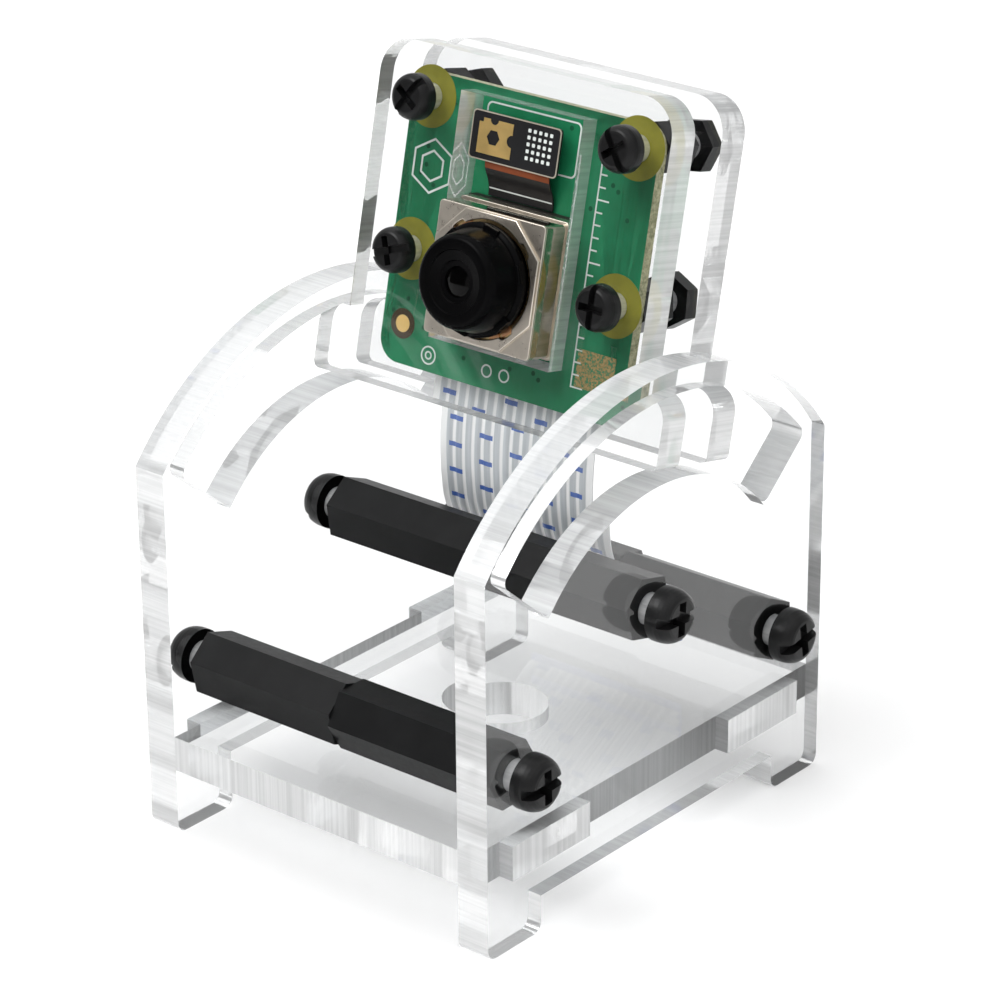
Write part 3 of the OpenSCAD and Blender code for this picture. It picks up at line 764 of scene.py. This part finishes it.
def make_pads():
    """Bare pads round the screws, the round aiming mark and the etched patch."""
    for i, (x, v) in enumerate(HOLES):
        pad = [ring(x, v, SCREW_PAD_R, 64), ring(x, v, SCREW_HOLE_R, 32)]
        on_board(f"screw_pad_{i + 1}", pad, 0, 0.04, "bare_laminate")
    x, v = BOARD_LOW.x + 2.14, BOARD_LOW.z + 3.3
    outer, inner = FIDUCIAL_RADII
    on_board("fiducial_ring", [ring(x, v, outer), ring(x, v, inner)], 0, INK, "dark_laminate")
    on_board("fiducial_pad", [ring(x, v, inner)], 0, 0.05, "gold_plate", 0.01)
    x, v = BOARD_HIGH.x - 1.15, BOARD_LOW.z + 2.35
    patch = rounded(x - PATCH_SIZE[0], v, x, v + PATCH_SIZE[1], 0.1)
    on_board("etched_patch", [patch], 0, INK, "speckled_copper")


def make_part_outline():
    """White outline round the flex's connector."""
    low, high = carriage_box("flex_stiffener")
    x0, v0 = low.x + 0.1, low.z + 0.05
    x1, v1 = high.x + 0.75, high.z + 0.6
    inner = rounded(x0 + INK_LINE, v0 + INK_LINE, x1 - INK_LINE, v1 - INK_LINE, 0.4)
    on_board("part_outline", [rounded(x0, v0, x1, v1, 0.5), inner], 0, INK, "white_ink")


def make_scale():
    """Ruled scale up the board's right side, a mark for each millimetre and a longer one for each fifth."""
    marks = []
    for i in range(SCALE_MARKS):
        reach = LONG_MARK if i % 5 == 0 else SHORT_MARK
        marks.append(bar_loop(SCALE_X + reach / 2, LENS_V - SCALE_FOOT + i, reach, SCALE_LINE))
    length = SCALE_MARKS - 1 + SCALE_LINE
    middle = LENS_V - SCALE_FOOT + (SCALE_MARKS - 1) / 2
    marks.append(bar_loop(SCALE_X - 0.07, middle, length, SCALE_LINE, 90))
    for i, loop in enumerate(marks):
        on_board(f"scale_mark_{i + 1:02d}", [loop], 0, INK, "white_ink")


def make_line_marks():
    """White hexagons and circles."""
    x, v = BOARD_LOW.x + 3.0, LENS_V + 7.0
    for i, r in enumerate(HEXAGON_RADII):
        loops = [arc(x, v, size, 30, 390, 6)[:-1] for size in (r, r - HEXAGON_LINE)]
        on_board(f"hexagon_mark_{i + 1}", loops, 0, INK, "white_ink")
    circles = [(-7.3, BOARD_LOW.z + 1.35, 0.78), (-7.3, BOARD_LOW.z + 1.35, 0.36),
               (-1.2, BOARD_LOW.z + 1.5, 0.55), (0.6, BOARD_LOW.z + 1.5, 0.55)]
    for i, (x, v, r) in enumerate(circles):
        loops = [ring(x, v, r, 32), ring(x, v, r - INK_LINE, 32)]
        on_board(f"round_mark_{i + 1}", loops, 0, INK, "white_ink")


def make_vias():
    """Small dimples in the mask, clear of the can and the screw pads."""
    rng = random.Random(7)
    vias = []
    while len(vias) < VIAS:
        x = rng.uniform(BOARD_LOW.x + 1, BOARD_HIGH.x - 1)
        v = rng.uniform(BOARD_LOW.z + 0.8, BOARD_HIGH.z - 0.8)
        inside = abs(x) < CAN_HALF + 0.4 and abs(v - LENS_V) < CAN_HALF + 0.4
        near_pad = any(math.dist((x, v), h) < SCREW_PAD_R + 0.35 for h in HOLES)
        if not inside and not near_pad:
            vias.append((x, v))
    on_board("via_rings", [ring(x, v, 0.2, 16) for x, v in vias], 0, 0.015, "mask_dimple")


make_pads()
make_part_outline()
make_scale()
make_line_marks()
make_vias()


# ---------- floor and light ----------
BOUNCES = 28
GLOSSY_BOUNCES = 12
WORLD_LIGHT = 0.8
SKY_LIGHT = 0.85
SKY_SPREAD = 90
SKY_AIM = (0.1, 0.2, -0.97)
KEY_PLACE = (-160, -260, 420)
KEY_SIZE = (260, 260)
KEY_POWER = 1.0
LIGHT_AIM = (0, 0, 30)
FLOOR_SIZE = 6
FLOOR_WHITE = 0.98
CARD_GREY = 0.14
CARD_PLACE = (-0.30, -0.42, 0.12)
CARD_SIZE = (0.42, 0.34, 1)
CARD_TURN = -36


def soft_light(name, place, size, power):
    """Square area light that faces the object."""
    data = bpy.data.lights.new(name, "AREA")
    data.shape = "RECTANGLE"
    data.size, data.size_y = (s * MM for s in size)
    data.energy = power
    lamp = bpy.data.objects.new(name, data)
    bpy.context.scene.collection.objects.link(lamp)
    lamp.location = Vector(place) * MM
    direction = Vector(LIGHT_AIM) - Vector(place)
    lamp.rotation_euler = direction.to_track_quat("-Z", "Y").to_euler()


def sky_light():
    """Broad sun from overhead."""
    data = bpy.data.lights.new("sky", "SUN")
    data.energy = SKY_LIGHT
    data.angle = math.radians(SKY_SPREAD)
    lamp = bpy.data.objects.new("sky", data)
    bpy.context.scene.collection.objects.link(lamp)
    lamp.rotation_euler = Vector(SKY_AIM).to_track_quat("-Z", "Y").to_euler()


def paper(name, shade):
    """Matt grey or white for what only stands on the stage."""
    n = Nodes(name)
    n.set(Base_Color=(shade, shade, shade, 1), Roughness=0.9, Specular_IOR_Level=0.0)
    return n.material


def stage_plane(name, size, place, material):
    """Plane that is part of the studio, not of the object."""
    bpy.ops.mesh.primitive_plane_add(size=size, location=place)
    plane = bpy.context.object
    plane.name = name
    plane.data.materials.append(material)
    return plane


def studio():
    """White floor and sky, a dark card for the clear edges to reflect, a broad sun and a soft key light."""
    scene = bpy.context.scene
    scene.view_settings.view_transform = "Standard"
    scene.cycles.max_bounces = BOUNCES
    scene.cycles.transmission_bounces = BOUNCES
    scene.cycles.glossy_bounces = GLOSSY_BOUNCES
    world = bpy.data.worlds.new("studio")
    scene.world = world
    world.use_nodes = True
    world.node_tree.nodes["Background"].inputs["Color"].default_value = (1, 1, 1, 1)
    world.node_tree.nodes["Background"].inputs["Strength"].default_value = WORLD_LIGHT
    stage_plane("floor", FLOOR_SIZE, (0, 0, 0), paper("floor_paper", FLOOR_WHITE))
    card = stage_plane("dark_card", 1, CARD_PLACE, paper("card_paper", CARD_GREY))
    card.scale = CARD_SIZE
    card.rotation_euler = (math.radians(90), 0, math.radians(CARD_TURN))
    sky_light()
    soft_light("key", KEY_PLACE, KEY_SIZE, KEY_POWER)


studio()
